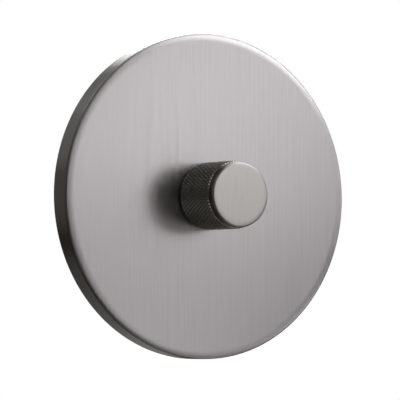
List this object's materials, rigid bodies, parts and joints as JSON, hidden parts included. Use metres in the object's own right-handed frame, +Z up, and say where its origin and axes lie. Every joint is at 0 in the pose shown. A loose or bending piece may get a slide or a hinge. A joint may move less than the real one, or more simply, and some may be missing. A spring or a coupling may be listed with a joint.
{
  "type": "dimmer switch",
  "caption": "Rotary dimmer switch: round brushed metal wall plate with a deep rim, a diamond-knurled push knob and the dimmer module behind it.",
  "frame": {"origin": "centre of the wall plane, the plane of the plate's back edge, on the knob's axis", "axes": "+Y into the wall, +Z up, +X to the right as seen from the room"},
  "size_m": [0.11, 0.0536, 0.11],
  "materials": {
    "plate_steel": "brushed, dark steel",
    "knob_steel": "knurled and brushed, dark steel",
    "zinc_steel": "zinc plated",
    "brass": "turned, bright",
    "housing_plastic": "moulded, fine texture",
    "pot_plastic": "moulded",
    "acetal": "moulded, natural",
    "terminal_plastic": "moulded, light grey",
    "board": "laminate with solder resist",
    "carbon_track": "printed carbon",
    "bronze": "rolled spring bronze",
    "spring_steel": "drawn wire",
    "aluminium": "satin",
    "epoxy": "moulded epoxy",
    "ferrite": "coated iron powder ring",
    "copper_wire": "enamelled copper",
    "capacitor_case": "moulded",
    "fuse_ceramic": "glazed",
    "resistor_body": "lacquered"
  },
  "bodies": {
    "base": {"front_plate": "plate_steel", "bush_nut": "brass", "lock_washer": "spring_steel", "bracket_nut": "brass", "mounting_bracket": "zinc_steel", "box_screws": "zinc_steel", "earth_terminal": "brass", "earth_screw": "zinc_steel", "housing_cover": "housing_plastic", "dimmer_housing": "housing_plastic", "housing_screws": "zinc_steel", "terminal_block": "terminal_plastic", "terminal_cage_1": "brass", "terminal_cage_2": "brass", "terminal_cage_3": "brass", "terminal_screws": "zinc_steel", "circuit_board": "board", "pot_bush": "brass", "pot_body": "pot_plastic", "resistive_track": "carbon_track", "switch_body": "pot_plastic", "switch_contacts": "bronze", "heat_sink": "aluminium", "triac": "epoxy", "triac_screw": "zinc_steel", "choke_core": "ferrite", "choke_winding": "copper_wire", "suppression_capacitor": "capacitor_case", "fuse": "fuse_ceramic", "resistors": "resistor_body", "control_chip": "epoxy"},
    "rotor": {"wiper_rotor": "acetal", "wiper_contact": "bronze"},
    "knob": {"knob": "knob_steel", "grub_screw": "zinc_steel", "knob_shaft": "zinc_steel", "shaft_clip": "spring_steel"},
    "plunger": {"switch_plunger": "acetal", "contact_bridge": "bronze", "return_spring": "spring_steel"}
  },
  "joints": [
    {"name": "knob_turn", "type": "hinge", "parent": "base", "child": "rotor", "pos_m": [0, 0, 0], "axis": [0, 1, 0], "range_deg": [0, 300]},
    {"name": "knob_push", "type": "slide", "parent": "rotor", "child": "knob", "axis": [0, 1, 0], "range_m": [0, 0.0005], "stiffness_N_per_m": 2500, "springref_m": -0.0008},
    {"name": "plunger_press", "type": "slide", "parent": "base", "child": "plunger", "axis": [0, 1, 0], "range_m": [0, 0.0005], "deforming": ["return_spring"]}
  ],
  "couplings": [
    {"joint": "plunger_press", "follows": "knob_push", "ratio": 1}
  ]
}
